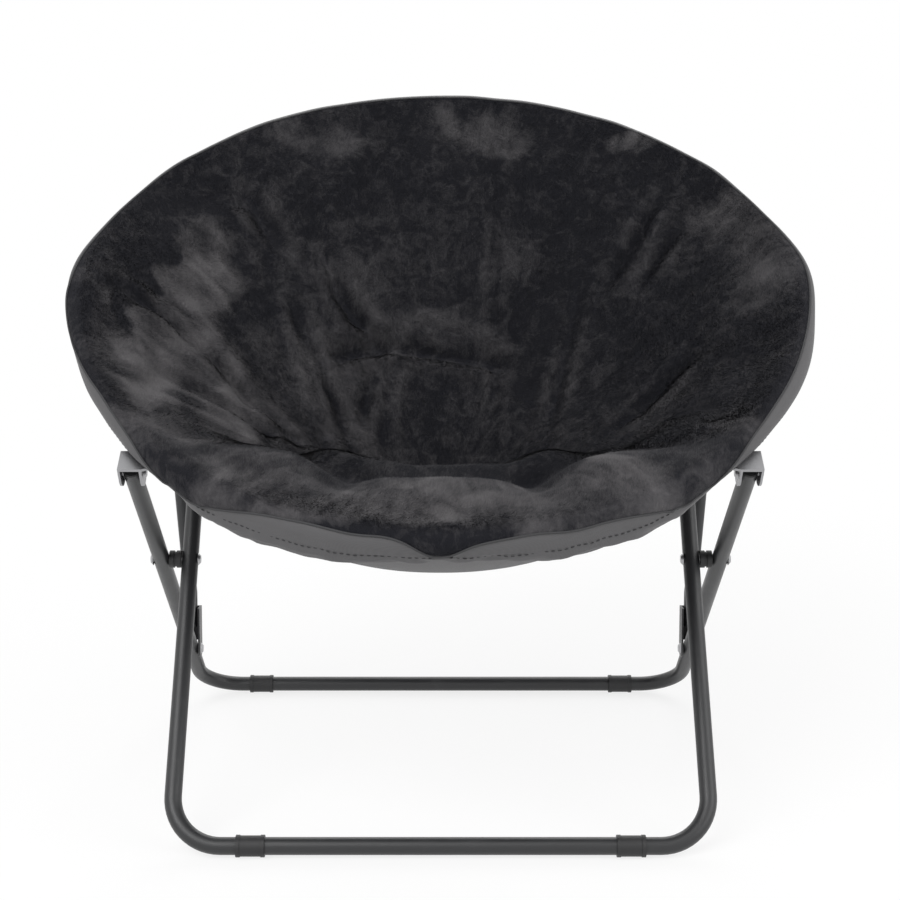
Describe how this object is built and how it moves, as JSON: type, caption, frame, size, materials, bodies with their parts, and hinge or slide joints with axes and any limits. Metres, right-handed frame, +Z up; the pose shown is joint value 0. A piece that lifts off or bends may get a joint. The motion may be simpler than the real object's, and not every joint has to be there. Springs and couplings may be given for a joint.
{
  "type": "saucer chair",
  "caption": "Folding saucer chair: a round padded bowl seat on a hinged tube ring over crossed tube legs.",
  "frame": {"origin": "on the floor under the centre of the round seat, chair open", "axes": "+Z up, +X to the right as seen from the front, +Y to the back"},
  "size_m": [0.7242, 0.6309, 0.6776],
  "materials": {
    "frame_paint": "satin powder coat",
    "bracket_paint": "satin powder coat on pressed steel",
    "rivet_steel": "plated",
    "black_plastic": "moulded, matte",
    "cover": "long plush above, plain woven cloth below"
  },
  "bodies": {
    "rear_leg": {"rear_leg_tube": "frame_paint", "rear_leg_plug_left": "black_plastic", "rear_leg_plug_right": "black_plastic", "leg_rivet_left": "rivet_steel", "leg_rivet_right": "rivet_steel", "leg_spacer_left": "black_plastic", "leg_spacer_right": "black_plastic", "rear_sleeve_left": "black_plastic", "rear_sleeve_right": "black_plastic"},
    "front_leg": {"front_leg_tube": "frame_paint", "front_leg_plug_left": "black_plastic", "front_leg_plug_right": "black_plastic", "front_sleeve_left": "black_plastic", "front_sleeve_right": "black_plastic"},
    "front_hoop": {"front_hoop_tube": "frame_paint", "seat_front": "cover", "front_hoop_bracket_left": "bracket_paint", "front_hoop_bracket_right": "bracket_paint", "front_hoop_rivet_left": "rivet_steel", "front_hoop_rivet_right": "rivet_steel", "hinge_front_left": "bracket_paint", "hinge_front_right": "bracket_paint"},
    "rear_hoop": {"rear_hoop_tube": "frame_paint", "seat_rear": "cover", "leg_saddle_left": "bracket_paint", "leg_saddle_right": "bracket_paint", "brace_saddle_left": "bracket_paint", "brace_saddle_right": "bracket_paint", "hinge_rear_left": "bracket_paint", "hinge_rear_right": "bracket_paint", "hinge_rivet_left": "rivet_steel", "hinge_rivet_right": "rivet_steel"},
    "brace_left": {"brace_tube_left": "frame_paint", "brace_plug_left": "black_plastic", "yoke_left": "bracket_paint", "yoke_rivet_left": "rivet_steel"},
    "brace_right": {"brace_tube_right": "frame_paint", "brace_plug_right": "black_plastic", "yoke_right": "bracket_paint", "yoke_rivet_right": "rivet_steel"}
  },
  "joints": [
    {"name": "front_leg_pivot", "type": "hinge", "parent": "rear_leg", "child": "front_leg", "pos_m": [0, -0.06609, 0.22929], "axis": [1, 0, 0], "range_deg": [0, 65]},
    {"name": "front_hoop_pivot", "type": "hinge", "parent": "rear_leg", "child": "front_hoop", "pos_m": [0, -0.19698, 0.34641], "axis": [1, 0, 0], "range_deg": [0, 85]},
    {"name": "seat_hinge", "type": "hinge", "parent": "front_hoop", "child": "rear_hoop", "pos_m": [0, -0.00505, 0.49563], "axis": [1, 0, 0], "range_deg": [0, 165], "deforming": ["seat_front", "seat_rear"]},
    {"name": "brace_left_pivot", "type": "hinge", "parent": "rear_leg", "child": "brace_left", "pos_m": [-0.273, 0.10075, 0.08002], "axis": [1, 0, 0], "range_deg": [0, 30]},
    {"name": "brace_right_pivot", "type": "hinge", "parent": "rear_leg", "child": "brace_right", "pos_m": [0.273, 0.10075, 0.08002], "axis": [1, 0, 0], "range_deg": [0, 30]}
  ],
  "couplings": [
    {"joint": "front_hoop_pivot", "follows": "front_leg_pivot", "ratio": 1.3076},
    {"joint": "seat_hinge", "follows": "front_leg_pivot", "ratio": 2.5384},
    {"joint": "brace_left_pivot", "follows": "front_leg_pivot", "ratio": 0.4615},
    {"joint": "brace_right_pivot", "follows": "front_leg_pivot", "ratio": 0.4615}
  ]
}
